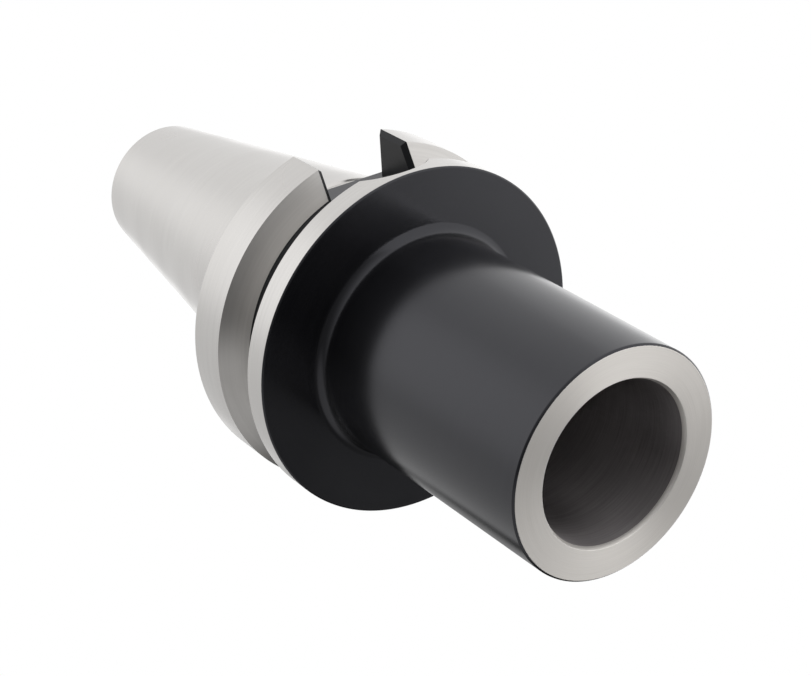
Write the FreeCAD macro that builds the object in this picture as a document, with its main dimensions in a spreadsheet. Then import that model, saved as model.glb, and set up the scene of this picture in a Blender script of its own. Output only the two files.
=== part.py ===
import FreeCAD, Part
import math
import os

import Sketcher

# Adapter that holds a Morse taper 5 shank in a spindle with a 7/24 taper number 50.
# It stands on its nose: +Z runs along the axis to the small end of the taper, and the
# origin is the centre of the gauge circle. The drive slots face +X and -X.

doc = FreeCAD.newDocument("MorseTaperAdapter")
sheet = doc.addObject("Spreadsheet::Sheet", "Sizes")

# Driving sizes in millimetres
sizes = [
    # Spindle taper
    ("GaugeDiameter", 69.85),
    ("TaperLength", 101.8),
    ("TaperRise", 7),
    ("TaperRun", 24),
    ("SmallEndChamfer", 0.4),
    # Neck between the taper and the flange
    ("NeckDiameter", 68.6),
    # Flange with the gripper groove
    ("FlangeDiameter", 100),
    ("FlangeGap", 3),
    ("FlangeWidth", 35),
    ("FlangeChamfer", 0.4),
    ("GrooveCentre", 23.2),
    ("GrooveMouth", 15),
    ("GrooveDepth", 7.5),
    ("GrooveFlankAngle", 30),
    # Drive slots
    ("SlotWidth", 25.7),
    ("SlotDepth", 15),
    ("SlotArcCentre", 21.6),
    ("SlotChamfer", 1.5),
    ("SlotMouthChamfer", 1.8),
    ("SlotCount", 2),
    # Nose
    ("NoseDiameter", 63),
    ("NoseReach", 120),
    ("NoseChamfer", 0.5),
    ("NoseFillet", 3),
    # Morse socket
    ("SocketDiameter", 44.399),
    ("SocketRatio", 19.002),
    ("SocketDepth", 135),
    ("ReliefDiameter", 38.2),
    ("MouthChamferWidth", 0.6),
    ("MouthChamferDepth", 1.2),
    # Pull stud bore at the small end
    ("PilotDiameter", 25),
    ("PilotDepth", 11.5),
    ("PilotChamfer", 1),
    ("StudThreadDiameter", 24),
    ("StudDrillDiameter", 21),
    # Retaining ring
    ("RingDiameter", 36),
    ("RingThickness", 12),
    ("RingBore", 21),
    ("RingChamfer", 0.8),
    ("RingBoreChamfer", 1.2),
    ("RingSlotWidth", 6),
    ("RingSlotDepth", 4),
    ("RingClearance", 0.05),
    # Draw screw
    ("HeadDiameter", 30),
    ("HeadHeight", 20),
    ("HeadChamfer", 1.5),
    ("HexWidth", 17),
    ("HexDepth", 10),
    ("HexMouthChamfer", 0.8),
    ("DrillPointAngle", 30),
    ("ScrewDiameter", 20),
    ("ScrewLength", 50),
    ("ScrewTipChamfer", 2.2),
    ("HeadClearance", 1),
    ("SeatGap", 0.3),
    ("EndPlay", 1),
]
for row, (alias, value) in enumerate(sizes, start=1):
    sheet.set(f"A{row}", alias)
    sheet.set(f"B{row}", str(value))
    sheet.setAlias(f"B{row}", alias)
doc.recompute()

def evaluate(expression):
    value = sheet.evalExpression(expression)
    return float(getattr(value, "Value", value))


def originFeature(body, role):
    return next(item for item in body.Origin.OriginFeatures if item.Role == role)


def newBody(label):
    body = doc.addObject("PartDesign::Body", label)
    body.Label = label
    return body


def newSketch(body, name, plane, offset=None):
    sketch = body.newObject("Sketcher::SketchObject", name)
    sketch.AttachmentSupport = [(originFeature(body, plane), "")]
    sketch.MapMode = "FlatFace"
    if offset is not None:
        sketch.setExpression("AttachmentOffset.Base.z", offset)
    return sketch


def pinCorner(sketch, edge, end, across, along):
    # Holds one end of an edge at its two distances from the sketch's origin.
    for kind, expression in (("DistanceX", across), ("DistanceY", along)):
        index = sketch.addConstraint(
            Sketcher.Constraint(kind, edge, end, evaluate(expression))
        )
        sketch.setExpression(f"Constraints[{index}]", expression)


def outline(sketch, corners):
    # A closed outline of straight edges, each corner given as two expressions.
    points = [
        FreeCAD.Vector(evaluate(across), evaluate(along), 0)
        for across, along in corners
    ]
    for number, point in enumerate(points):
        sketch.addGeometry(Part.LineSegment(point, points[(number + 1) % len(points)]))
    for number, (across, along) in enumerate(corners):
        sketch.addConstraint(
            Sketcher.Constraint("Coincident", number, 2, (number + 1) % len(points), 1)
        )
        pinCorner(sketch, number, 1, across, along)


def turned(body, kind, name, corners):
    # Turns a half section about the body's axis, as added or removed material.
    sketch = newSketch(body, f"{name}Section", "XZ_Plane")
    outline(sketch, corners)
    feature = body.newObject(kind, name)
    feature.Profile = sketch
    feature.ReferenceAxis = (sketch, ["V_Axis"])
    feature.Angle = 360
    doc.recompute()
    return feature


def circleEdges(feature, radius, height):
    # Names of the round edges about the axis with this radius at this height.
    names = []
    for number, edge in enumerate(feature.Shape.Edges, start=1):
        curve = edge.Curve
        if not isinstance(curve, Part.Circle):
            continue
        if abs(curve.Radius - radius) < 1e-4 and abs(curve.Center.z - height) < 1e-4:
            names.append(f"Edge{number}")
    return names


def dress(body, kind, name, base, edges, size, expression):
    feature = body.newObject(kind, name)
    feature.Base = (base, edges)
    feature.setExpression(size, expression)
    doc.recompute()
    return feature


# Places along the axis, measured up from the gauge line
gaugeRadius = "Sizes.GaugeDiameter / 2"
taperSlope = "Sizes.TaperRise / Sizes.TaperRun / 2"
smallEndRadius = f"{gaugeRadius} - Sizes.TaperLength * {taperSlope}"
flangeRadius = "Sizes.FlangeDiameter / 2"
flangeRear = "-Sizes.FlangeGap"
flangeFront = "-Sizes.FlangeGap - Sizes.FlangeWidth"
noseRadius = "Sizes.NoseDiameter / 2"
noseFace = "-Sizes.NoseReach"
neckRadius = "Sizes.NeckDiameter / 2"
seatTop = "Sizes.SocketDepth - Sizes.NoseReach + Sizes.RingThickness"
headSeat = f"{seatTop} + Sizes.SeatGap"
pocketTop = f"{headSeat} + Sizes.HeadHeight + Sizes.EndPlay"


def buildHolderBody():
    body = newBody("holder_body")
    blank = turned(body, "PartDesign::Revolution", "Blank", [
        ("0", noseFace),
        (f"{noseRadius} - Sizes.NoseChamfer", noseFace),
        (noseRadius, f"{noseFace} + Sizes.NoseChamfer"),
        (noseRadius, flangeFront),
        (f"{flangeRadius} - Sizes.FlangeChamfer", flangeFront),
        (flangeRadius, f"{flangeFront} + Sizes.FlangeChamfer"),
        (flangeRadius, f"{flangeRear} - Sizes.FlangeChamfer"),
        (f"{flangeRadius} - Sizes.FlangeChamfer", flangeRear),
        (neckRadius, flangeRear),
        (neckRadius, f"{neckRadius} - {gaugeRadius}"),
        (gaugeRadius, "0"),
        (f"{smallEndRadius} + Sizes.SmallEndChamfer * {taperSlope}",
         "Sizes.TaperLength - Sizes.SmallEndChamfer"),
        (f"{smallEndRadius} - Sizes.SmallEndChamfer", "Sizes.TaperLength"),
        ("0", "Sizes.TaperLength"),
    ])
    noseRoot = circleEdges(blank, evaluate(noseRadius), evaluate(flangeFront))
    dress(body, "PartDesign::Fillet", "NoseFillet", blank, noseRoot,
          "Radius", "Sizes.NoseFillet")

    # The gripper's groove: two ground flanks and a narrower floor.
    grooveRadius = f"{flangeRadius} - Sizes.GrooveDepth"
    flankRun = "Sizes.GrooveDepth * tan(Sizes.GrooveFlankAngle * 1 deg)"
    halfMouth = "Sizes.GrooveMouth / 2"
    turned(body, "PartDesign::Groove", "GripperGroove", [
        (flangeRadius, f"-Sizes.GrooveCentre - {halfMouth}"),
        (flangeRadius, f"-Sizes.GrooveCentre + {halfMouth}"),
        (grooveRadius, f"-Sizes.GrooveCentre + {halfMouth} - {flankRun}"),
        (grooveRadius, f"-Sizes.GrooveCentre - {halfMouth} + {flankRun}"),
    ])
    slots = cutDriveSlots(body)
    dress(body, "PartDesign::Chamfer", "SlotChamfer", slots, slotEdges(slots),
          "Size", "Sizes.SlotChamfer")
    cutBores(body)
    return body


def cutDriveSlots(body):
    # Milled from the rear of the flange, with a chamfered mouth there and a round end
    # in the front land.
    slotFloor = f"{flangeRadius} - Sizes.SlotDepth"
    sketch = newSketch(body, "SlotOutline", "YZ_Plane", slotFloor)
    half = "Sizes.SlotWidth / 2"
    mouthHalf = f"{half} + Sizes.SlotMouthChamfer"
    mouthStart = f"{flangeRear} - Sizes.SlotMouthChamfer"
    arcHeight = "-Sizes.SlotArcCentre"
    corners = [
        (half, arcHeight),
        (half, mouthStart),
        (mouthHalf, flangeRear),
        (mouthHalf, "0"),
        (f"-({mouthHalf})", "0"),
        (f"-({mouthHalf})", flangeRear),
        (f"-{half}", mouthStart),
        (f"-{half}", arcHeight),
    ]
    points = [
        FreeCAD.Vector(evaluate(across), evaluate(along), 0)
        for across, along in corners
    ]
    edges = len(points) - 1
    for number in range(edges):
        sketch.addGeometry(Part.LineSegment(points[number], points[number + 1]))
    centre = (points[0] + points[-1]) / 2
    circle = Part.Circle(centre, FreeCAD.Vector(0, 0, 1), evaluate(half))
    sketch.addGeometry(Part.ArcOfCircle(circle, math.pi, 2 * math.pi))
    for number in range(1, edges):
        sketch.addConstraint(Sketcher.Constraint("Coincident", number - 1, 2, number, 1))
        pinCorner(sketch, number, 1, *corners[number])
    # The round end is tangent to both upright walls.
    sketch.addConstraint([
        Sketcher.Constraint("Vertical", 0),
        Sketcher.Constraint("Vertical", edges - 1),
        Sketcher.Constraint("Tangent", edges - 1, 2, edges, 1),
        Sketcher.Constraint("Tangent", edges, 2, 0, 1),
    ])
    height = Sketcher.Constraint("DistanceY", edges, 3, evaluate(arcHeight))
    index = sketch.addConstraint(height)
    sketch.setExpression(f"Constraints[{index}]", arcHeight)
    pocket = body.newObject("PartDesign::Pocket", "DriveSlot")
    pocket.Profile = sketch
    pocket.Reversed = True
    pocket.setExpression("Length", flangeRadius)
    doc.recompute()
    pattern = body.newObject("PartDesign::PolarPattern", "DriveSlots")
    pattern.Originals = [pocket]
    pattern.Axis = (originFeature(body, "Z_Axis"), [""])
    pattern.Angle = 360
    pattern.setExpression("Occurrences", "Sizes.SlotCount")
    body.Tip = pattern
    doc.recompute()
    return pattern


def slotEdges(feature):
    # Edges where a slot's wall meets the turned surfaces of the flange.
    half = evaluate("Sizes.SlotWidth / 2")

    def isWall(face):
        surface = face.Surface
        if isinstance(surface, Part.Plane):
            flat = abs(abs(surface.Axis.y) - 1) < 1e-6
            return flat and abs(abs(face.CenterOfMass.y) - half) < 1e-4
        if isinstance(surface, Part.Cylinder):
            return abs(surface.Radius - half) < 1e-4 and abs(surface.Axis.z) < 1e-6
        return False

    def isTurned(face):
        surface = face.Surface
        return isinstance(surface, (Part.Cylinder, Part.Cone)) and abs(surface.Axis.z) > 0.5

    shape = feature.Shape
    names = []
    for number, edge in enumerate(shape.Edges, start=1):
        faces = shape.ancestorsOfType(edge, Part.Face)
        if any(isWall(face) for face in faces) and any(isTurned(face) for face in faces):
            names.append(f"Edge{number}")
    return names


def cutBores(body):
    # The Morse socket, its relief, the seat of the ring and the pocket of the head
    mouthEnd = f"{noseFace} + Sizes.MouthChamferDepth"
    socketRadius = "Sizes.SocketDiameter / 2"
    taperEnd = f"{noseFace} + (Sizes.SocketDiameter - Sizes.ReliefDiameter) * Sizes.SocketRatio"
    seatFront = "Sizes.SocketDepth - Sizes.NoseReach"
    seatRadius = "Sizes.RingDiameter / 2 + Sizes.RingClearance"
    pocketRadius = "Sizes.HeadDiameter / 2 + Sizes.HeadClearance"
    mouthRadius = f"{socketRadius} - Sizes.MouthChamferDepth / Sizes.SocketRatio / 2"
    turned(body, "PartDesign::Groove", "MorseSocket", [
        ("0", noseFace),
        (f"{mouthRadius} + Sizes.MouthChamferWidth", noseFace),
        (mouthRadius, mouthEnd),
        ("Sizes.ReliefDiameter / 2", taperEnd),
        ("Sizes.ReliefDiameter / 2", seatFront),
        (seatRadius, seatFront),
        (seatRadius, seatTop),
        (pocketRadius, seatTop),
        (pocketRadius, pocketTop),
        ("0", pocketTop),
    ])
    # The pull stud's pilot and thread, drilled on into the head's pocket for the key
    pilotRadius = "Sizes.PilotDiameter / 2"
    pilotFloor = "Sizes.TaperLength - Sizes.PilotDepth"
    threadRadius = "Sizes.StudThreadDiameter / 2"
    drillRadius = "Sizes.StudDrillDiameter / 2"
    turned(body, "PartDesign::Groove", "PullStudBore", [
        ("0", pocketTop),
        (drillRadius, pocketTop),
        (drillRadius, f"{pilotFloor} - {threadRadius} + {drillRadius}"),
        (threadRadius, pilotFloor),
        (pilotRadius, pilotFloor),
        (pilotRadius, "Sizes.TaperLength - Sizes.PilotChamfer"),
        (f"{pilotRadius} + Sizes.PilotChamfer", "Sizes.TaperLength"),
        ("0", "Sizes.TaperLength"),
    ])


def buildRetainingRing():
    # Its frame lies on the face that the screw's head bears on.
    body = newBody("retaining_ring")
    ringRadius = "Sizes.RingDiameter / 2"
    boreRadius = "Sizes.RingBore / 2"
    front = "-Sizes.RingThickness"
    turned(body, "PartDesign::Revolution", "Ring", [
        (f"{boreRadius} + Sizes.RingBoreChamfer", "0"),
        (boreRadius, "-Sizes.RingBoreChamfer"),
        (boreRadius, f"{front} + Sizes.RingBoreChamfer"),
        (f"{boreRadius} + Sizes.RingBoreChamfer", front),
        (f"{ringRadius} - Sizes.RingChamfer", front),
        (ringRadius, f"{front} + Sizes.RingChamfer"),
        (ringRadius, "-Sizes.RingChamfer"),
        (f"{ringRadius} - Sizes.RingChamfer", "0"),
    ])
    # A slot right across the front face for the spanner
    sketch = newSketch(body, "SpannerSlotOutline", "XY_Plane", front)
    outline(sketch, [
        ("-Sizes.RingDiameter", "-Sizes.RingSlotWidth / 2"),
        ("Sizes.RingDiameter", "-Sizes.RingSlotWidth / 2"),
        ("Sizes.RingDiameter", "Sizes.RingSlotWidth / 2"),
        ("-Sizes.RingDiameter", "Sizes.RingSlotWidth / 2"),
    ])
    slot = body.newObject("PartDesign::Pocket", "SpannerSlot")
    slot.Profile = sketch
    slot.Reversed = True
    slot.setExpression("Length", "Sizes.RingSlotDepth")
    body.setExpression("Placement.Base.z", seatTop)
    doc.recompute()
    return body


def buildDrawScrew():
    # Its frame lies under the head, with the shank below.
    body = newBody("draw_screw")
    headRadius = "Sizes.HeadDiameter / 2"
    shankRadius = "Sizes.ScrewDiameter / 2"
    tip = "-Sizes.ScrewLength"
    turned(body, "PartDesign::Revolution", "ScrewBlank", [
        ("0", tip),
        (f"{shankRadius} - Sizes.ScrewTipChamfer", tip),
        (shankRadius, f"{tip} + Sizes.ScrewTipChamfer"),
        (shankRadius, "0"),
        (headRadius, "0"),
        (headRadius, "Sizes.HeadHeight - Sizes.HeadChamfer"),
        (f"{headRadius} - Sizes.HeadChamfer", "Sizes.HeadHeight"),
        ("0", "Sizes.HeadHeight"),
    ])

    # The hexagon for the key, with its drilled bottom and chamfered mouth
    sides = 6
    halfSide = 180 / sides
    corner = f"Sizes.HexWidth / 2 / cos({halfSide} deg)"
    turns = [halfSide * (2 * side + 1) for side in range(sides)]
    sketch = newSketch(body, "HexOutline", "XY_Plane", "Sizes.HeadHeight")
    outline(sketch, [
        (f"{corner} * cos({turn} deg)", f"{corner} * sin({turn} deg)") for turn in turns
    ])
    hexagon = body.newObject("PartDesign::Pocket", "HexSocket")
    hexagon.Profile = sketch
    hexagon.setExpression("Length", "Sizes.HexDepth")
    doc.recompute()
    socketFloor = "Sizes.HeadHeight - Sizes.HexDepth"
    pointSlope = "tan(Sizes.DrillPointAngle * 1 deg)"
    turned(body, "PartDesign::Groove", "HexDrillPoint", [
        ("0", f"{socketFloor} - Sizes.HexWidth / 2 * {pointSlope}"),
        ("Sizes.HexWidth / 2", socketFloor),
        ("0", socketFloor),
    ])
    mouth = f"{corner} + Sizes.HexMouthChamfer"
    turned(body, "PartDesign::Groove", "HexMouth", [
        ("0", f"Sizes.HeadHeight - ({mouth}) * {pointSlope}"),
        (mouth, "Sizes.HeadHeight"),
        ("0", "Sizes.HeadHeight"),
    ])
    body.setExpression("Placement.Base.z", headSeat)
    doc.recompute()
    return body


parts = [buildHolderBody(), buildRetainingRing(), buildDrawScrew()]
doc.recompute()

for item in doc.Objects:
    if "Invalid" in item.State or "Error" in item.State:
        raise RuntimeError(f"{item.Name} failed: {item.State}")
for body in parts:
    if body.Shape.isNull() or not body.Shape.isValid():
        raise RuntimeError(f"{body.Label} has no valid shape")

os.makedirs("parts", exist_ok=True)
for body in parts:
    body.Shape.exportStep(os.path.join("parts", f"{body.Label}.step"))
    print(body.Label, len(body.Shape.Solids), round(body.Shape.Volume, 1))
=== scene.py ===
import math

import bpy
from mathutils import Matrix, Vector


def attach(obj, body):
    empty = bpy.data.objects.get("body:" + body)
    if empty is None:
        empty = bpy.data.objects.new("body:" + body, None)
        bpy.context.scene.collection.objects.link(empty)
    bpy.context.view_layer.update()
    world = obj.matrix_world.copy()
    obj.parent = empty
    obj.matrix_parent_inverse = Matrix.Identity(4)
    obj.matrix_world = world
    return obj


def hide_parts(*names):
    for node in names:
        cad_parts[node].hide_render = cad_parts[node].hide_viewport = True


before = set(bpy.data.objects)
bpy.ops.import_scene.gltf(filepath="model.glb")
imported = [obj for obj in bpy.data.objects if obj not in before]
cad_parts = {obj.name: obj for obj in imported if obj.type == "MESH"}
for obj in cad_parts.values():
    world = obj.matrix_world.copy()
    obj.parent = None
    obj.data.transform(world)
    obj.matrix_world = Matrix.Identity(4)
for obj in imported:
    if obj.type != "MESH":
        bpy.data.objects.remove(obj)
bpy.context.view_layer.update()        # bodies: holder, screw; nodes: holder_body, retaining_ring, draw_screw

mm = 0.001
weldWidth = 0.001 * mm     # points closer than this are one
sameHeight = 1e-6          # heights (mm) closer than this are one


# small helpers
def pickNothing():
    if bpy.context.object and bpy.context.object.mode != "OBJECT":
        bpy.ops.object.mode_set(mode="OBJECT")
    bpy.ops.object.select_all(action="DESELECT")


def pickOnly(piece):
    pickNothing()
    piece.select_set(True)
    bpy.context.view_layer.objects.active = piece


def pickPoints(piece, test):
    # Selects the vertices that pass the test, with the piece in edit mode before and after.
    bpy.ops.mesh.select_all(action="DESELECT")
    bpy.ops.object.mode_set(mode="OBJECT")
    for vertex in piece.data.vertices:
        vertex.select = test(vertex.co)
    bpy.ops.object.mode_set(mode="EDIT")


def drawLine(name, points, closed=True):
    # A wire through the points (mm): a plane merged to one vertex, which is then extruded on.
    pickNothing()
    places = [Vector(point) * mm for point in points]
    bpy.ops.mesh.primitive_plane_add(size=mm, location=places[0])
    piece = bpy.context.object
    piece.name = name
    piece.data.name = name
    bpy.ops.object.transform_apply(location=True, rotation=True, scale=True)
    bpy.ops.object.mode_set(mode="EDIT")
    bpy.ops.mesh.select_mode(type="VERT")
    bpy.ops.mesh.select_all(action="SELECT")
    bpy.ops.mesh.merge(type="CENTER")
    for before, after in zip(places, places[1:] + places[:1] * closed):
        bpy.ops.mesh.extrude_vertices_move(TRANSFORM_OT_translate={"value": after - before})
    bpy.ops.mesh.select_all(action="SELECT")
    bpy.ops.mesh.remove_doubles(threshold=weldWidth)
    return piece


def roundCorners(piece, corners, size, segments):
    # Rounds the wire's corners that lie at these points (mm).
    places = [Vector(corner) * mm for corner in corners]
    reach = 0.01 * mm
    pickPoints(piece, lambda co: any((co - place).length < reach for place in places))
    bpy.ops.mesh.bevel(offset=size * mm, segments=segments, affect="VERTICES")


def turnPiece(piece, steps):
    bpy.ops.mesh.select_all(action="SELECT")
    bpy.ops.mesh.spin(steps=steps, angle=2 * math.pi, center=(0, 0, 0), axis=(0, 0, 1))
    bpy.ops.mesh.select_all(action="SELECT")
    bpy.ops.mesh.remove_doubles(threshold=weldWidth)
    bpy.ops.mesh.normals_make_consistent(inside=False)
    bpy.ops.object.mode_set(mode="OBJECT")


def applyAll(piece):
    pickOnly(piece)
    for modifier in list(piece.modifiers):
        bpy.ops.object.modifier_apply(modifier=modifier.name)


def cutAway(piece, cutters):
    for cutter in cutters:
        cut = piece.modifiers.new("cut", "BOOLEAN")
        cut.operation = "DIFFERENCE"
        cut.solver = "EXACT"
        cut.object = cutter
        applyAll(piece)
        bpy.data.objects.remove(cutter)


def smoothOff(piece, angle=28):
    # Smooth shading up to the angle, with the large faces leading the normals.
    pickOnly(piece)
    bpy.ops.object.shade_smooth_by_angle(angle=math.radians(angle))
    weighted = piece.modifiers.new("weighted", "WEIGHTED_NORMAL")
    weighted.keep_sharp = True
    weighted.weight = 80
    applyAll(piece)


def turnedCopy(piece, degrees):
    # A copy with its own mesh, turned about the axis.
    pickOnly(piece)
    bpy.ops.object.duplicate()
    copy = bpy.context.object
    copy.data.transform(Matrix.Rotation(math.radians(degrees), 4, "Z"))
    return copy


# finishes
def newGroup(name, inputs, outputs):
    group = bpy.data.node_groups.new(name, "ShaderNodeTree")
    for label, value in inputs:
        socket = group.interface.new_socket(label, in_out="INPUT", socket_type="NodeSocketFloat")
        socket.default_value = value
    for label in outputs:
        group.interface.new_socket(label, in_out="OUTPUT", socket_type="NodeSocketFloat")
    return group, group.nodes.new("NodeGroupInput"), group.nodes.new("NodeGroupOutput")


def mathNode(tree, operation, first, second=None, clamp=False):
    node = tree.nodes.new("ShaderNodeMath")
    node.operation = operation
    node.use_clamp = clamp
    for index, value in enumerate((first, second)):
        if value is None:
            continue
        if isinstance(value, (int, float)):
            node.inputs[index].default_value = value
        else:
            tree.links.new(value, node.inputs[index])
    return node.outputs[0]


def noiseNode(tree, vector, scale, detail=2.0, roughness=0.5):
    node = tree.nodes.new("ShaderNodeTexNoise")
    node.inputs["Detail"].default_value = detail
    node.inputs["Roughness"].default_value = roughness
    if isinstance(scale, (int, float)):
        node.inputs["Scale"].default_value = scale
    else:
        tree.links.new(scale, node.inputs["Scale"])
    tree.links.new(vector, node.inputs["Vector"])
    return node.outputs["Fac"]


def buildLathedMarks():
    # Fine rings around the axis, as turning and cylindrical grinding leave them.
    group, given, made = newGroup(
        "lathedMarks",
        [("Fineness", 4000.0), ("Drift", 30.0)],
        ["Rings", "Bands"],
    )
    where = group.nodes.new("ShaderNodeTexCoord")
    split = group.nodes.new("ShaderNodeSeparateXYZ")
    group.links.new(where.outputs["Object"], split.inputs[0])
    x, y, z = split.outputs
    radius = mathNode(group, "SQRT", mathNode(
        group, "ADD", mathNode(group, "MULTIPLY", x, x), mathNode(group, "MULTIPLY", y, y)))
    # The marks keep to the circle, but slowly fade in and out along it.
    ringFade, bandFade = 1.3, 0.8
    angleX = mathNode(group, "DIVIDE", x, radius)
    angleY = mathNode(group, "DIVIDE", y, radius)
    reach = mathNode(group, "SUBTRACT", z, radius)
    spot = group.nodes.new("ShaderNodeCombineXYZ")
    group.links.new(mathNode(group, "MULTIPLY", reach, given.outputs["Fineness"]), spot.inputs[0])
    group.links.new(mathNode(group, "MULTIPLY", angleX, ringFade), spot.inputs[1])
    group.links.new(mathNode(group, "MULTIPLY", angleY, ringFade), spot.inputs[2])
    rings = noiseNode(group, spot.outputs[0], 1.0, 3.0, 0.65)
    wide = group.nodes.new("ShaderNodeCombineXYZ")
    group.links.new(mathNode(group, "MULTIPLY", reach, given.outputs["Drift"]), wide.inputs[0])
    group.links.new(mathNode(group, "MULTIPLY", angleX, bandFade), wide.inputs[1])
    group.links.new(mathNode(group, "MULTIPLY", angleY, bandFade), wide.inputs[2])
    bands = noiseNode(group, wide.outputs[0], 1.0, 1.0, 0.4)
    group.links.new(rings, made.inputs["Rings"])
    group.links.new(bands, made.inputs["Bands"])
    return group


def buildSurfaceGrain():
    # Speckle of the metal and soft clouds where hands and oil have been.
    group, given, made = newGroup(
        "surfaceGrain",
        [("Speckle", 6000.0), ("Cloud", 28.0)],
        ["Grain", "Clouds"],
    )
    where = group.nodes.new("ShaderNodeTexCoord")
    grain = noiseNode(group, where.outputs["Object"], given.outputs["Speckle"], 2.0, 0.6)
    clouds = noiseNode(group, where.outputs["Object"], given.outputs["Cloud"], 3.0, 0.55)
    group.links.new(grain, made.inputs["Grain"])
    group.links.new(clouds, made.inputs["Clouds"])
    return group


def buildEdgeRub():
    # Where the surface turns sharply, at the handled edges.
    steepness = 8.0
    group, given, made = newGroup("edgeRub", [("Width", 0.0003), ("Amount", 1.0)], ["Edge"])
    here = group.nodes.new("ShaderNodeNewGeometry")
    rounded = group.nodes.new("ShaderNodeBevel")
    rounded.samples = 4
    group.links.new(given.outputs["Width"], rounded.inputs["Radius"])
    dot = group.nodes.new("ShaderNodeVectorMath")
    dot.operation = "DOT_PRODUCT"
    group.links.new(here.outputs["Normal"], dot.inputs[0])
    group.links.new(rounded.outputs["Normal"], dot.inputs[1])
    turn = mathNode(group, "SUBTRACT", 1.0, dot.outputs["Value"])
    edge = mathNode(group, "MULTIPLY", mathNode(group, "MULTIPLY", turn, steepness, True),
                    given.outputs["Amount"], True)
    group.links.new(edge, made.inputs["Edge"])
    return group


lathedMarks = buildLathedMarks()
surfaceGrain = buildSurfaceGrain()
edgeRub = buildEdgeRub()


def addGroup(tree, group, **values):
    node = tree.nodes.new("ShaderNodeGroup")
    node.node_tree = group
    for label, value in values.items():
        node.inputs[label].default_value = value
    return node


def mixColours(tree, factor, first, second):
    node = tree.nodes.new("ShaderNodeMix")
    node.data_type = "RGBA"
    # Sockets 6 and 7 are the two colours, and output 2 is the mixed one.
    for index, value in ((0, factor), (6, first), (7, second)):
        if isinstance(value, (tuple, float, int)):
            node.inputs[index].default_value = value if index == 0 else (*value, 1.0)
        else:
            tree.links.new(value, node.inputs[index])
    return node.outputs[2]


def spread(tree, value, low, high):
    # Brings a noise value, about 0.3 to 0.7, to a range of the finish.
    node = tree.nodes.new("ShaderNodeMapRange")
    node.inputs["From Min"].default_value = 0.3
    node.inputs["From Max"].default_value = 0.7
    node.inputs["To Min"].default_value = low
    node.inputs["To Max"].default_value = high
    tree.links.new(value, node.inputs["Value"])
    return node.outputs[0]


# Shared by the finishes: what the clouds add to the roughness, how high the relief is (m),
# and the turn of the gloss, a quarter because the marks run around the axis
allFinishes = {"cloudGloss": (-0.02, 0.03), "reliefHeight": 0.00002, "glossTurn": 0.25}


def newFinish(name, look):
    # One metal finish: ring marks, grain and clouds lead its colour, gloss and relief.
    finish = bpy.data.materials.new(name)
    finish.use_nodes = True
    tree = finish.node_tree
    shader = tree.nodes["Principled BSDF"]
    shader.inputs["Metallic"].default_value = look["metallic"]
    shader.inputs["Specular IOR Level"].default_value = look.get("specular", 0.5)
    shader.inputs["Specular Tint"].default_value = (*look.get("tint", (1.0, 1.0, 1.0)), 1.0)
    shader.inputs["Anisotropic"].default_value = look.get("anisotropic", 0.0)
    if look.get("anisotropic"):
        # The gloss is drawn out across the marks.
        shader.inputs["Anisotropic Rotation"].default_value = allFinishes["glossTurn"]
        tangent = tree.nodes.new("ShaderNodeTangent")
        tangent.direction_type = "RADIAL"
        tangent.axis = "Z"
        tree.links.new(tangent.outputs[0], shader.inputs["Tangent"])
    marks = addGroup(tree, lathedMarks, Fineness=look["fineness"], Drift=look["drift"])
    grain = addGroup(tree, surfaceGrain, Speckle=look["speckle"], Cloud=look["cloud"])
    rub = addGroup(tree, edgeRub, Width=look["edgeWidth"], Amount=look["edgeAmount"])
    body = mixColours(tree, spread(tree, marks.outputs["Rings"], 0.0, 1.0),
                      look["dark"], look["light"])
    clouded = mixColours(tree, spread(tree, grain.outputs["Clouds"], 0.0, look["cloudAmount"]),
                         body, look["stain"])
    coloured = mixColours(tree, rub.outputs["Edge"], clouded, look["edgeColour"])
    tree.links.new(coloured, shader.inputs["Base Color"])
    low, high = look["roughness"]
    rough = mathNode(tree, "ADD", spread(tree, marks.outputs["Bands"], low, high),
                     spread(tree, grain.outputs["Clouds"], *allFinishes["cloudGloss"]))
    tree.links.new(rough, shader.inputs["Roughness"])
    relief = mathNode(tree, "ADD",
                      mathNode(tree, "MULTIPLY", marks.outputs["Rings"], look["ringDepth"]),
                      mathNode(tree, "MULTIPLY", grain.outputs["Grain"], look["grainDepth"]))
    bump = tree.nodes.new("ShaderNodeBump")
    bump.inputs["Distance"].default_value = allFinishes["reliefHeight"]
    bump.inputs["Strength"].default_value = look["relief"]
    tree.links.new(relief, bump.inputs["Height"])
    tree.links.new(bump.outputs[0], shader.inputs["Normal"])
    return finish


groundSteel = newFinish("groundSteel", {
    "metallic": 1.0, "anisotropic": 0.5,
    "dark": (0.598, 0.584, 0.569), "light": (0.664, 0.649, 0.633), "stain": (0.619, 0.599, 0.579),
    "fineness": 5000.0, "drift": 60.0, "speckle": 5000.0, "cloud": 25.0, "cloudAmount": 0.35,
    "roughness": (0.2, 0.27), "ringDepth": 0.8, "grainDepth": 0.3, "relief": 0.25,
    "edgeWidth": 0.00025, "edgeAmount": 0.6, "edgeColour": (0.76, 0.755, 0.74),
})
groundFlank = newFinish("groundFlank", {
    "metallic": 1.0, "anisotropic": 0.85,
    "dark": (0.593, 0.577, 0.559), "light": (0.664, 0.647, 0.628), "stain": (0.608, 0.587, 0.564),
    "fineness": 3000.0, "drift": 90.0, "speckle": 5000.0, "cloud": 60.0, "cloudAmount": 0.35,
    "roughness": (0.27, 0.33), "ringDepth": 0.8, "grainDepth": 0.3, "relief": 0.2,
    "edgeWidth": 0.00025, "edgeAmount": 0.6, "edgeColour": (0.76, 0.755, 0.74),
})
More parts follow.
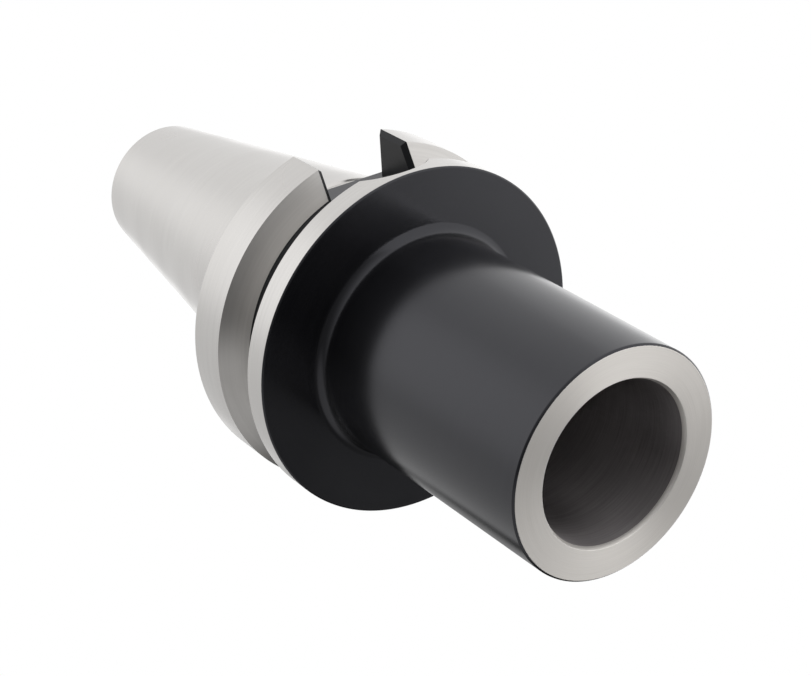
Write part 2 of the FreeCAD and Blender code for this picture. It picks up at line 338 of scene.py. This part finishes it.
# Turned end face: its turned marks and gloss are real, but its colour is painted much lighter than the same
# steel elsewhere. This is painted light on a face turned away from the bright sky.
turnedFacePaintedLight = newFinish("turnedFacePaintedLight", {
    "metallic": 1.0, "anisotropic": 0.75,
    "dark": (0.87, 0.84, 0.8), "light": (0.95, 0.918, 0.878), "stain": (0.89, 0.855, 0.815),
    "fineness": 5500.0, "drift": 160.0, "speckle": 6000.0, "cloud": 40.0, "cloudAmount": 0.4,
    "roughness": (0.44, 0.52), "ringDepth": 0.9, "grainDepth": 0.3, "relief": 0.3,
    "edgeWidth": 0.00025, "edgeAmount": 0.5, "edgeColour": (0.74, 0.735, 0.72),
})
blackOxide = newFinish("blackenedSteel", {
    "metallic": 0.0, "specular": 0.67, "tint": (0.91, 0.915, 1.0),
    "dark": (0.004, 0.004, 0.005), "light": (0.009, 0.0092, 0.0108),
    "stain": (0.012, 0.012, 0.0125),
    "fineness": 2500.0, "drift": 40.0, "speckle": 4500.0, "cloud": 30.0, "cloudAmount": 0.4,
    "roughness": (0.16, 0.22), "ringDepth": 0.5, "grainDepth": 0.6, "relief": 0.2,
    "edgeWidth": 0.0002, "edgeAmount": 0.2, "edgeColour": (0.05, 0.05, 0.05),
})
milledBlack = newFinish("milledBlack", {
    "metallic": 0.0, "specular": 0.3, "tint": (0.94, 0.96, 1.0),
    "dark": (0.004, 0.0042, 0.005), "light": (0.009, 0.0093, 0.0105),
    "stain": (0.011, 0.0112, 0.0118),
    "fineness": 2500.0, "drift": 40.0, "speckle": 3500.0, "cloud": 35.0, "cloudAmount": 0.4,
    "roughness": (0.3, 0.38), "ringDepth": 0.4, "grainDepth": 0.8, "relief": 0.3,
    "edgeWidth": 0.0002, "edgeAmount": 0.15, "edgeColour": (0.04, 0.04, 0.04),
})
socketSteel = newFinish("socketSteel", {
    "metallic": 1.0, "anisotropic": 0.85,
    "dark": (0.3, 0.28, 0.284), "light": (0.43, 0.405, 0.409), "stain": (0.35, 0.327, 0.331),
    "fineness": 2600.0, "drift": 50.0, "speckle": 3500.0, "cloud": 45.0, "cloudAmount": 0.5,
    "roughness": (0.4, 0.48), "ringDepth": 0.5, "grainDepth": 1.0, "relief": 0.4,
    "edgeWidth": 0.0002, "edgeAmount": 0.2, "edgeColour": (0.3, 0.29, 0.28),
})
print("finishes made")


# the holder
holder = {
    "steps": 192,
    "edgeBreak": 0.12, "edgeSteps": 2,
    "gaugeRadius": 34.925, "taperLength": 101.8, "smallEndRadius": 20.079,
    "smallEndChamfer": 0.4, "smallEndStep": 0.058,
    "neckRadius": 34.3, "neckFillet": 0.5,
    "flangeRadius": 50.0, "flangeRear": -3.0, "flangeFront": -38.0, "flangeChamfer": 0.4,
    "grooveRadius": 42.5, "grooveRear": -15.7, "grooveFront": -30.7, "grooveRun": 4.3301,
    "flankAngle": 30,
    "noseRadius": 31.5, "noseFace": -120.0, "noseChamfer": 0.5, "noseFillet": 3.0,
    "noseFilletSteps": 14,
    "flankRoot": 0.4, "rootSteps": 5,
    "mouthRadius": 22.168, "mouthWidth": 0.6, "mouthDepth": 1.2,
    "reliefRadius": 19.1, "reliefStart": -2.207,
    "seatRadius": 18.05, "seatFront": 15.0, "seatTop": 27.0,
    "pocketRadius": 16.0, "pocketTop": 48.3,
    "drillRadius": 10.5, "threadRadius": 12.0, "pilotFloor": 90.3, "pilotRadius": 12.5,
    "pilotChamfer": 1.0,
}


def holderOutline(h):
    # Half section from the socket's mouth out and up to the small end, and back inside.
    top = h["taperLength"]
    small = h["smallEndRadius"]
    outer = [
        (h["mouthRadius"] + h["mouthWidth"], h["noseFace"]),
        (h["noseRadius"] - h["noseChamfer"], h["noseFace"]),
        (h["noseRadius"], h["noseFace"] + h["noseChamfer"]),
        (h["noseRadius"], h["flangeFront"]),
        (h["flangeRadius"] - h["flangeChamfer"], h["flangeFront"]),
        (h["flangeRadius"], h["flangeFront"] + h["flangeChamfer"]),
        (h["flangeRadius"], h["grooveFront"]),
        (h["grooveRadius"], h["grooveFront"] + h["grooveRun"]),
        (h["grooveRadius"], h["grooveRear"] - h["grooveRun"]),
        (h["flangeRadius"], h["grooveRear"]),
        (h["flangeRadius"], h["flangeRear"] - h["flangeChamfer"]),
        (h["flangeRadius"] - h["flangeChamfer"], h["flangeRear"]),
        (h["neckRadius"], h["flangeRear"]),
        (h["neckRadius"], h["neckRadius"] - h["gaugeRadius"]),
        (h["gaugeRadius"], 0),
        (small + h["smallEndStep"], top - h["smallEndChamfer"]),
        (small - h["smallEndChamfer"], top),
    ]
    inner = [
        (h["pilotRadius"] + h["pilotChamfer"], top),
        (h["pilotRadius"], top - h["pilotChamfer"]),
        (h["pilotRadius"], h["pilotFloor"]),
        (h["threadRadius"], h["pilotFloor"]),
        (h["drillRadius"], h["pilotFloor"] - h["threadRadius"] + h["drillRadius"]),
        (h["drillRadius"], h["pocketTop"]),
        (h["pocketRadius"], h["pocketTop"]),
        (h["pocketRadius"], h["seatTop"]),
        (h["seatRadius"], h["seatTop"]),
        (h["seatRadius"], h["seatFront"]),
        (h["reliefRadius"], h["seatFront"]),
        (h["reliefRadius"], h["reliefStart"]),
        (h["mouthRadius"], h["noseFace"] + h["mouthDepth"]),
    ]
    return outer, inner


def turnHolder(h):
    outer, inner = holderOutline(h)
    section = [(radius, 0, height) for radius, height in outer + inner]
    piece = drawLine("holder", section)
    filletCorner = (h["noseRadius"], 0, h["flangeFront"])
    neckCorner = (h["neckRadius"], 0, h["flangeRear"])
    roundCorners(piece, [filletCorner], h["noseFillet"], h["noseFilletSteps"])
    roundCorners(piece, [neckCorner], h["neckFillet"], h["rootSteps"])
    flankRoots = [(h["grooveRadius"], 0, h["grooveFront"] + h["grooveRun"]),
                  (h["grooveRadius"], 0, h["grooveRear"] - h["grooveRun"])]
    roundCorners(piece, flankRoots, h["flankRoot"], h["rootSteps"])
    outside = [(radius, 0, height) for radius, height in outer]
    broken = [corner for corner in outside
              if corner not in (filletCorner, neckCorner, *flankRoots)]
    roundCorners(piece, broken, h["edgeBreak"], h["edgeSteps"])
    turnPiece(piece, h["steps"])
    return piece


holderPiece = turnHolder(holder)
print("holder turned,", len(holderPiece.data.polygons), "faces")


# its drive slots
slots = {
    "floor": 35.0, "half": 12.85, "arcCentre": -21.6, "mouth": 1.8, "chamfer": 1.5,
    "reach": 52.0, "above": 2.0, "arcSteps": 24, "arcShort": 0.002,
    # The bars that cut the edge's chamfer: where they start above the flange, how far they
    # run on past an end, and how far their other sides stand out in the open
    "edgeStart": 1.5, "runOn": 2.0, "barOver": 0.2, "barBack": 0.4,
}


def slotCutter(s, h):
    # The slot's outline, pulled out along X. Its round end is two rounded corners that stop
    # just short of each other.
    low = s["arcCentre"] - s["half"]
    rear = h["flangeRear"]
    wide = s["half"] + s["mouth"]
    corners = [
        (s["half"], low), (s["half"], rear - s["mouth"]), (wide, rear), (wide, s["above"]),
        (-wide, s["above"]), (-wide, rear), (-s["half"], rear - s["mouth"]), (-s["half"], low),
    ]
    piece = drawLine("slot", [(s["floor"], y, z) for y, z in corners])
    ends = [(s["floor"], s["half"], low), (s["floor"], -s["half"], low)]
    roundCorners(piece, ends, s["half"] - s["arcShort"], s["arcSteps"])
    bpy.ops.mesh.select_all(action="SELECT")
    bpy.ops.mesh.edge_face_add()
    bpy.ops.mesh.extrude_region_move(
        TRANSFORM_OT_translate={"value": ((s["reach"] - s["floor"]) * mm, 0, 0)})
    bpy.ops.mesh.select_all(action="SELECT")
    bpy.ops.mesh.normals_make_consistent(inside=False)
    bpy.ops.object.mode_set(mode="OBJECT")
    return piece


def flangeRadiusAt(h, z):
    # The turned radius of the flange at a height, with its groove.
    if z >= h["grooveRear"] or z <= h["grooveFront"]:
        return h["flangeRadius"]
    slope = (h["flangeRadius"] - h["grooveRadius"]) / h["grooveRun"]
    fromRear = h["flangeRadius"] - (h["grooveRear"] - z) * slope
    fromFront = h["flangeRadius"] - (z - h["grooveFront"]) * slope
    return max(h["grooveRadius"], fromRear, fromFront)


def slotEdgePath(s, h):
    # Points (y, z) down one wall of the slot, around its end and up the other wall.
    rearFlank = h["grooveRear"] - h["grooveRun"]
    frontFlank = h["grooveFront"] + h["grooveRun"]
    # The flanks are cones, so a wall cuts them along a slightly curved line.
    onFlank = [h["grooveRear"] - h["grooveRun"] * part / 4 for part in (1, 2, 3)]
    wall = [h["flangeRear"] + s["edgeStart"], h["grooveRear"], *onFlank, rearFlank,
            s["arcCentre"]]
    down = [(s["half"], z) for z in wall]
    turns = [math.pi / 2 * step / s["arcSteps"] for step in range(1, s["arcSteps"] + 1)]
    for kink in (frontFlank, h["grooveFront"]):
        turns.append(math.asin((s["arcCentre"] - kink) / s["half"]))
    for turn in sorted(turns):
        down.append((s["half"] * math.cos(turn), s["arcCentre"] - s["half"] * math.sin(turn)))
    corners = (h["grooveRear"], rearFlank, frontFlank, h["grooveFront"])
    kinks = [point for point in down if any(abs(point[1] - z) < sameHeight for z in corners)]
    oneSide = [point for point in down if point in kinks
               or all(math.dist(point, kink) > s["chamfer"] for kink in kinks)]
    return oneSide + [(-y, z) for y, z in reversed(oneSide[:-1])]


def edgeChamferCutters(s, h):
    # Three-sided bars that follow the slot's edge on the flange. One side of them runs from
    # the wall to the turned surface, and leaves the chamfer; the rest is in the open. A new
    # bar starts where the lands meet the groove, and each runs on past that crease.
    path = slotEdgePath(s, h)
    creases = [number for number, (y, z) in enumerate(path)
               if min(abs(z - h["grooveRear"]), abs(z - h["grooveFront"])) < sameHeight]
    ends = [0, *creases, len(path) - 1]

    def onEdge(y, z):
        radius = flangeRadiusAt(h, z)
        return Vector((math.sqrt(radius * radius - y * y), y, z))

    def surfaceNormal(y, z, towards):
        # Of the turned surface, a little way from here to the path's next or last point.
        share, step = 0.02, 1e-4
        probe = z + (towards - z) * share if abs(towards - z) > sameHeight else z
        slope = (flangeRadiusAt(h, probe + step) - flangeRadiusAt(h, probe - step)) / (2 * step)
        radius = flangeRadiusAt(h, z)
        return Vector((math.sqrt(radius * radius - y * y), y, -slope * radius)).normalized()

    def wallNormal(y, z):
        # Out of the wall into the slot
        if z >= s["arcCentre"]:
            return Vector((0, -math.copysign(1, y), 0))
        return Vector((0, -y, s["arcCentre"] - z)).normalized()

    def ringsAlong(run):
        rings = []
        for number, (y, z) in enumerate(run):
            here = onEdge(y, z)
            sides = []
            for other in (number - 1, number + 1):
                if not 0 <= other < len(run):
                    continue
                along = (onEdge(*run[other]) - here).normalized() * (other - number)
                outward = surfaceNormal(y, z, run[other][1])
                into = wallNormal(y, z)
                down = along.cross(into).normalized()
                if down.dot(outward) > 0:
                    down = -down
                aside = along.cross(outward).normalized()
                if aside.dot(into) > 0:
                    aside = -aside
                sides.append((down, aside))
            down, aside = (sum((side[index] for side in sides), Vector()) / len(sides)
                           for index in (0, 1))
            down = down / down.length_squared * s["chamfer"]
            aside = aside / aside.length_squared * s["chamfer"]
            over = s["barOver"]
            ring = [here + down * (1 + over) - aside * over,
                    here + aside * (1 + over) - down * over,
                    here - (down + aside) * s["barBack"]]
            if number == 0:
                rings.append([point - along * s["runOn"] for point in ring])
            rings.append(ring)
            if number == len(run) - 1:
                rings.append([point + along * s["runOn"] for point in ring])
        return rings

    return [edgeBar(ringsAlong(path[first:last + 1])) for first, last in zip(ends, ends[1:])]


def edgeBar(rings):
    # A closed bar of three sides through the rings
    points = [point * mm for ring in rings for point in ring]
    faces = []
    for ring in range(len(rings) - 1):
        for side in range(3):
            start, after = ring * 3 + side, ring * 3 + (side + 1) % 3
            faces.append((start, after, after + 3, start + 3))
    last = len(points) - 3
    faces += [(2, 1, 0), (last, last + 1, last + 2)]
    mesh = bpy.data.meshes.new("slotEdge")
    mesh.from_pydata(points, [], faces)
    piece = bpy.data.objects.new("slotEdge", mesh)
    bpy.context.collection.objects.link(piece)
    pickOnly(piece)
    bpy.ops.object.mode_set(mode="EDIT")
    bpy.ops.mesh.select_all(action="SELECT")
    bpy.ops.mesh.normals_make_consistent(inside=False)
    bpy.ops.object.mode_set(mode="OBJECT")
    return piece


# its thread for the pull stud
studThread = {
    "pitch": 3.0, "flankAngle": 30, "root": 12.0, "open": 10.2,
    "start": 50.5, "end": 93.0, "steps": 60,
}


def threadCutter(t):
    # A wedge wound up the axis, wider at the open side than at its root, where its flat is
    # an eighth of the pitch.
    flat = t["pitch"] / 16
    mouth = flat + abs(t["open"] - t["root"]) * math.tan(math.radians(t["flankAngle"]))
    wedge = [(t["open"], -mouth), (t["root"], -flat), (t["root"], flat), (t["open"], mouth)]
    piece = drawLine("thread", [(r, 0, t["start"] + z) for r, z in wedge])
    bpy.ops.object.mode_set(mode="OBJECT")
    wind = piece.modifiers.new("wind", "SCREW")
    wind.screw_offset = t["pitch"] * mm
    wind.iterations = round((t["end"] - t["start"]) / t["pitch"])
    wind.steps = t["steps"]
    wind.render_steps = t["steps"]
    applyAll(piece)
    bpy.ops.object.mode_set(mode="EDIT")
    bpy.ops.mesh.select_all(action="SELECT")
    bpy.ops.mesh.fill_holes(sides=4)
    bpy.ops.mesh.select_all(action="SELECT")
    bpy.ops.mesh.normals_make_consistent(inside=False)
    bpy.ops.object.mode_set(mode="OBJECT")
    return piece


firstSlot = slotCutter(slots, holder)
firstEdge = edgeChamferCutters(slots, holder)
otherSlot = turnedCopy(firstSlot, 180)
otherEdge = [turnedCopy(bar, 180) for bar in firstEdge]
cutAway(holderPiece, [firstSlot, otherSlot, *firstEdge, *otherEdge, threadCutter(studThread)])
print("slots and stud thread cut,", len(holderPiece.data.polygons), "faces")


# How near (mm) a face lies to the surface that it belongs to, and how far it turns from it
sorting = {
    "near": 0.03, "offFlange": 0.05, "pocketWall": 3.0, "boreEnd": 1.0, "endFace": 0.3,
    "sideways": 0.1, "outward": 0.3, "behindFront": 1.0,
}


def holderFinish(h, centre, normal):
    # Which finish a face has: 0 ground, 1 turned face painted lighter as painted light, 2 blackened,
    # 3 socket, 4 groove flank, 5 milled and blackened.
    x, y, z = (value / mm for value in centre)
    radius = math.hypot(x, y)
    outward = (x * normal.x + y * normal.y) / radius
    around = abs(x * normal.y - y * normal.x) / radius
    near = sorting["near"]
    turnsAside = around > sorting["sideways"]
    if radius < h["mouthRadius"] + h["mouthWidth"] + near and z < h["seatFront"]:
        # The mouth's chamfer also takes the turned face's painted light.
        return 1 if z < h["noseFace"] + h["mouthDepth"] else 3
    if z > h["pilotFloor"] + near and radius < h["pilotRadius"] + h["pilotChamfer"] + near:
        return 0
    inBore = radius < h["pocketRadius"] + sorting["pocketWall"]
    if inBore and z < h["taperLength"] - sorting["boreEnd"]:
        return 2
    if z > h["taperLength"] - sorting["endFace"]:
        return 0
    # The taper, and the neck below it that its wheel runs out into
    if radius < h["gaugeRadius"] + near and z > h["flangeRear"] + near and not turnsAside:
        return 0
    # The end face, with its colour painted lighter as painted light.
    if z < h["noseFace"] + near:
        return 1
    onFlange = h["flangeFront"] + h["flangeChamfer"] < z < h["flangeRear"] - h["flangeChamfer"]
    turnedRadius = flangeRadiusAt(h, z)
    # The flanks are ground down to their rounded roots, which stay black like the floor.
    rootEnd = h["grooveRadius"] + h["flankRoot"] * math.cos(math.radians(h["flankAngle"]))
    if onFlange and turnedRadius - radius < sorting["offFlange"] and turnedRadius > rootEnd:
        if turnsAside or outward < sorting["outward"]:
            return 5
        return 0 if turnedRadius > h["flangeRadius"] - near else 4
    # The walls of the slots, and the groove's floor
    inGroove = turnedRadius <= rootEnd and radius > h["grooveRadius"] - near
    behindFront = z > h["flangeFront"] + sorting["behindFront"]
    if behindFront and z < h["flangeRear"] and (turnsAside or inGroove):
        return 5
    return 2


for finish in (groundSteel, turnedFacePaintedLight, blackOxide, socketSteel, groundFlank, milledBlack):
    holderPiece.data.materials.append(finish)
for face in holderPiece.data.polygons:
    face.material_index = holderFinish(holder, face.center, face.normal)
smoothOff(holderPiece)
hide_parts("holder_body")
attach(holderPiece, "holder")
print("holder finished")


# the ring in its seat
ring = {
    "steps": 128, "bore": 10.5, "radius": 18.0, "front": 15.0, "back": 27.0,
    "chamfer": 0.8, "boreChamfer": 1.2, "edgeBreak": 0.12, "edgeSteps": 2,
    "slotHalf": 3.0, "slotDepth": 4.0, "slotCorner": 0.4, "cornerSteps": 4,
    "slotReach": 20.0, "slotBelow": 2.0,
}


def turnRing(r):
    corners = [
        (r["bore"] + r["boreChamfer"], r["front"]), (r["radius"] - r["chamfer"], r["front"]),
        (r["radius"], r["front"] + r["chamfer"]), (r["radius"], r["back"] - r["chamfer"]),
        (r["radius"] - r["chamfer"], r["back"]), (r["bore"] + r["boreChamfer"], r["back"]),
        (r["bore"], r["back"] - r["boreChamfer"]), (r["bore"], r["front"] + r["boreChamfer"]),
    ]
    section = [(radius, 0, height) for radius, height in corners]
    piece = drawLine("retainer", section)
    roundCorners(piece, section, r["edgeBreak"], r["edgeSteps"])
    turnPiece(piece, r["steps"])
    return piece


def spannerSlotCutter(r):
    # One bar cuts both slots, across the ring's front.
    low, high, half = r["front"] - r["slotBelow"], r["front"] + r["slotDepth"], r["slotHalf"]
    corners = [(-half, low), (half, low), (half, high), (-half, high)]
    piece = drawLine("spannerSlot", [(-r["slotReach"], y, z) for y, z in corners])
    ends = [(-r["slotReach"], half, high), (-r["slotReach"], -half, high)]
    roundCorners(piece, ends, r["slotCorner"], r["cornerSteps"])
    bpy.ops.mesh.select_all(action="SELECT")
    bpy.ops.mesh.edge_face_add()
    bpy.ops.mesh.extrude_region_move(
        TRANSFORM_OT_translate={"value": (2 * r["slotReach"] * mm, 0, 0)})
    bpy.ops.mesh.select_all(action="SELECT")
    bpy.ops.mesh.normals_make_consistent(inside=False)
    bpy.ops.object.mode_set(mode="OBJECT")
    return piece


ringPiece = turnRing(ring)
cutAway(ringPiece, [spannerSlotCutter(ring)])
ringPiece.data.materials.append(blackOxide)
smoothOff(ringPiece)
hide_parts("retaining_ring")
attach(ringPiece, "holder")
print("retaining ring made")


# the draw screw
screw = {
    "steps": 96, "headRadius": 15.0, "seat": 27.3, "headTop": 47.3, "headChamfer": 1.5,
    "shankRadius": 10.0, "tip": -22.7, "tipChamfer": 2.2, "fillet": 0.8, "filletSteps": 5,
    "edgeBreak": 0.15, "edgeSteps": 2,
    "hexHalf": 8.5, "hexDepth": 10.0, "hexMouth": 0.8, "pointAngle": 30.0,
    # The drill is this much smaller than the hexagon, and the cutters run on past the head.
    "drillGap": 0.5, "hexPast": 3.0, "conePast": 1.0, "coneSteps": 72,
}
screwThread = {
    "pitch": 2.5, "flankAngle": 30, "root": 8.47, "open": 10.4,
    "start": -26.0, "end": 8.0, "steps": 60,
}


def turnScrew(s):
    corners = [
        (0, s["tip"]), (s["shankRadius"] - s["tipChamfer"], s["tip"]),
        (s["shankRadius"], s["tip"] + s["tipChamfer"]), (s["shankRadius"], s["seat"]),
        (s["headRadius"], s["seat"]), (s["headRadius"], s["headTop"] - s["headChamfer"]),
        (s["headRadius"] - s["headChamfer"], s["headTop"]), (0, s["headTop"]),
    ]
    section = [(radius, 0, height) for radius, height in corners]
    piece = drawLine("screw", section, closed=False)
    roundCorners(piece, [section[3]], s["fillet"], s["filletSteps"])
    outerEdges = [section[1], section[2], *section[4:7]]
    roundCorners(piece, outerEdges, s["edgeBreak"], s["edgeSteps"])
    turnPiece(piece, s["steps"])
    return piece


def hexCutters(s):
    # The hexagon, the point of its drill and the cone of its mouth
    corner = s["hexHalf"] / math.cos(math.radians(30))
    floor = s["headTop"] - s["hexDepth"]
    slope = math.tan(math.radians(s["pointAngle"]))
    pickNothing()
    bpy.ops.mesh.primitive_cylinder_add(
        vertices=6, radius=corner * mm, depth=(s["hexDepth"] + s["hexPast"]) * mm,
        location=(0, 0, (floor + s["headTop"] + s["hexPast"]) / 2 * mm))
    hexagon = bpy.context.object
    bpy.ops.object.transform_apply(location=True, rotation=True, scale=True)
    drill = s["hexHalf"] - s["drillGap"]
    past = s["conePast"]
    point = drawLine("drillPoint", [
        (0, 0, floor - drill * slope), (drill, 0, floor), (drill, 0, floor + past),
        (0, 0, floor + past)], closed=False)
    turnPiece(point, s["coneSteps"])
    mouth = corner + s["hexMouth"]
    cone = drawLine("mouthCone", [
        (0, 0, s["headTop"] - mouth * slope), (mouth + past / slope, 0, s["headTop"] + past),
        (0, 0, s["headTop"] + past)], closed=False)
    turnPiece(cone, s["coneSteps"])
    return [hexagon, point, cone]


screwPiece = turnScrew(screw)
cutAway(screwPiece, [*hexCutters(screw), threadCutter(screwThread)])
screwPiece.data.materials.append(blackOxide)
smoothOff(screwPiece)
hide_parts("draw_screw")
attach(screwPiece, "screw")
print("draw screw made,", len(screwPiece.data.polygons), "faces")


# floor, light and camera
studio = {
    "floorHeight": -120.5, "floorSize": 12000.0, "floorColour": (0.86, 0.86, 0.855),
    "floorLighter": 1.02, "floorRoughness": 0.9, "floorGloss": 0.1,
    "floorSpeckle": 900.0, "floorCloud": 3.0,
    "skyLow": 0.125, "skyHigh": 0.96, "above": (0.588, 0.349, 0.729), "skyEdge": (-0.92, 0.715),
    "corner": (-0.915, 0.29, 0.282), "cornerShade": 0.92, "cornerEdge": (0.838, 0.872),
    "side": (0.338, 0.921, -0.191), "sideLight": 1.09, "sideEdge": (0.415, 0.516),
    # Soft boxes added to the sky: where they are, their edge and their light
    "boxes": [
        ((0.353, -0.57, 0.742), (0.831, 1.006), 0.265),
        ((-0.673, -0.565, -0.477), (0.79, 0.945), 0.415),
        ((-0.541, 0.557, 0.63), (0.86, 0.906), 0.36),
    ],
}


def layFloor(s):
    # Seen only from above: from below, and by every ray of light, it is clear.
    pickNothing()
    bpy.ops.mesh.primitive_plane_add(size=s["floorSize"] * mm,
                                     location=(0, 0, s["floorHeight"] * mm))
    piece = bpy.context.object
    piece.name = "floor"
    bpy.ops.object.transform_apply(location=True, rotation=True, scale=True)
    paper = bpy.data.materials.new("palePaper")
    paper.use_nodes = True
    tree = paper.node_tree
    shader = tree.nodes["Principled BSDF"]
    shader.inputs["Roughness"].default_value = s["floorRoughness"]
    shader.inputs["Specular IOR Level"].default_value = s["floorGloss"]
    grain = addGroup(tree, surfaceGrain, Speckle=s["floorSpeckle"], Cloud=s["floorCloud"])
    lighter = tuple(value * s["floorLighter"] for value in s["floorColour"])
    pale = mixColours(tree, spread(tree, grain.outputs["Grain"], 0.0, 1.0),
                      s["floorColour"], lighter)
    tree.links.new(pale, shader.inputs["Base Color"])
    light = tree.nodes.new("ShaderNodeLightPath")
    side = tree.nodes.new("ShaderNodeNewGeometry")
    seen = mathNode(tree, "MULTIPLY", light.outputs["Is Camera Ray"],
                    mathNode(tree, "SUBTRACT", 1.0, side.outputs["Backfacing"]))
    clear = tree.nodes.new("ShaderNodeBsdfTransparent")
    mix = tree.nodes.new("ShaderNodeMixShader")
    tree.links.new(seen, mix.inputs[0])
    tree.links.new(clear.outputs[0], mix.inputs[1])
    tree.links.new(shader.outputs[0], mix.inputs[2])
    tree.links.new(mix.outputs[0], tree.nodes["Material Output"].inputs[0])
    piece.data.materials.append(paper)


def lobe(tree, direction, towards, edge):
    # Rises smoothly from 0 to 1 as a direction turns to the light.
    dot = tree.nodes.new("ShaderNodeVectorMath")
    dot.operation = "DOT_PRODUCT"
    dot.inputs[1].default_value = towards
    tree.links.new(direction, dot.inputs[0])
    soft = tree.nodes.new("ShaderNodeMapRange")
    soft.interpolation_type = "SMOOTHSTEP"
    soft.inputs["From Min"].default_value = edge[0]
    soft.inputs["From Max"].default_value = edge[1]
    tree.links.new(dot.outputs["Value"], soft.inputs["Value"])
    return soft.outputs[0]


def lightWorld(s):
    # White where the camera looks past the object. What lights it is a soft sky above and
    # behind with a dim corner, soft boxes around, and a dimmer room in front.
    world = bpy.data.worlds.new("studio")
    bpy.context.scene.world = world
    world.use_nodes = True
    tree = world.node_tree
    backdrop = tree.nodes["Background"]
    backdrop.inputs["Color"].default_value = (1, 1, 1, 1)
    direction = tree.nodes.new("ShaderNodeTexCoord").outputs["Generated"]
    sky = mathNode(tree, "MULTIPLY", lobe(tree, direction, s["above"], s["skyEdge"]),
                   s["skyHigh"] - s["skyLow"])
    sky = mathNode(tree, "ADD", sky, s["skyLow"])
    shade = mathNode(tree, "MULTIPLY", lobe(tree, direction, s["corner"], s["cornerEdge"]),
                     s["cornerShade"])
    sky = mathNode(tree, "MULTIPLY", sky, mathNode(tree, "SUBTRACT", 1.0, shade))
    for towards, edge, strength in s["boxes"]:
        box = mathNode(tree, "MULTIPLY", lobe(tree, direction, towards, edge), strength)
        sky = mathNode(tree, "ADD", sky, box)
    side = mathNode(tree, "MULTIPLY", lobe(tree, direction, s["side"], s["sideEdge"]),
                    s["sideLight"])
    room = mathNode(tree, "MAXIMUM", sky, side)
    seen = tree.nodes.new("ShaderNodeLightPath").outputs["Is Camera Ray"]
    light = tree.nodes.new("ShaderNodeMix")
    tree.links.new(seen, light.inputs[0])
    tree.links.new(room, light.inputs[2])
    light.inputs[3].default_value = 1.0
    tree.links.new(light.outputs[0], backdrop.inputs["Strength"])


# The camera looks at the object from the nose's side, from below its face.
view = {
    "place": (266.041, -277.387, -450.355),
    "turn": (154.0851, 35.0429, 93.6942),
    "lens": 92.403, "sensor": 36,
    "near": 0.01, "far": 50,     # what it sees, in metres
}


def setCamera(v):
    lens = bpy.data.cameras.new("camera")
    lens.lens = v["lens"]
    lens.sensor_width = v["sensor"]
    lens.clip_start = v["near"]
    lens.clip_end = v["far"]
    camera = bpy.data.objects.new("camera", lens)
    bpy.context.collection.objects.link(camera)
    camera.location = [value * mm for value in v["place"]]
    camera.rotation_euler = [math.radians(value) for value in v["turn"]]
    bpy.context.scene.camera = camera


layFloor(studio)
lightWorld(studio)
setCamera(view)
bpy.context.scene.view_settings.view_transform = "Standard"
print("studio set")
